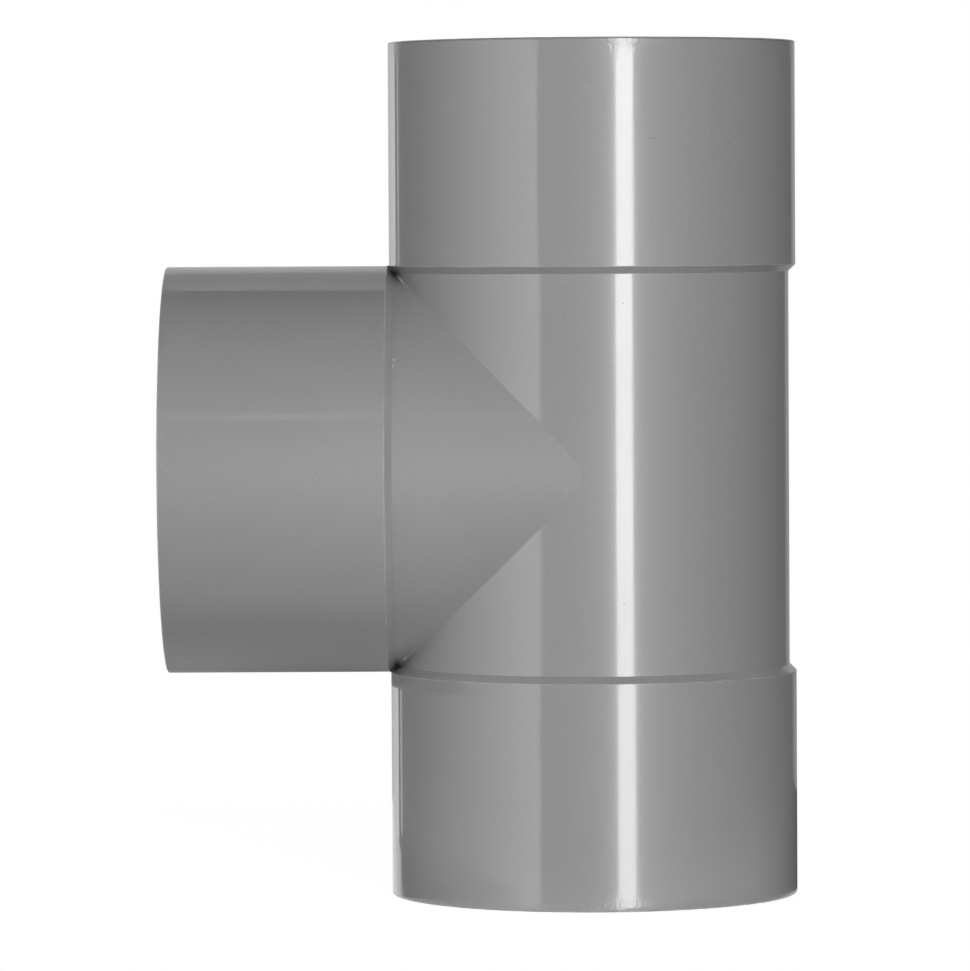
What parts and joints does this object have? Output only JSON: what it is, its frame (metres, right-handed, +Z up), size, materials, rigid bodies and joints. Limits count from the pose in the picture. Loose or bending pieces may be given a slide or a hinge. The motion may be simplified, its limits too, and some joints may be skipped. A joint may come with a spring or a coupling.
{
  "type": "pvc tee",
  "caption": "Plain ninety degree pipe tee for solvent welding: an upright run with a socket at each end and a branch socket at its middle, with stepped shoulders behind the sockets.",
  "frame": {"origin": "centre of the lower socket's mouth, on the run's axis, which is where the tee stands", "axes": "+Z up the run to the upper socket, -X out of the branch socket, Y across both"},
  "size_m": [0.1802, 0.1164, 0.244],
  "materials": {
    "grey_pvc": "moulded, half gloss"
  },
  "bodies": {
    "root": {"tee": "grey_pvc"}
  },
  "joints": []
}
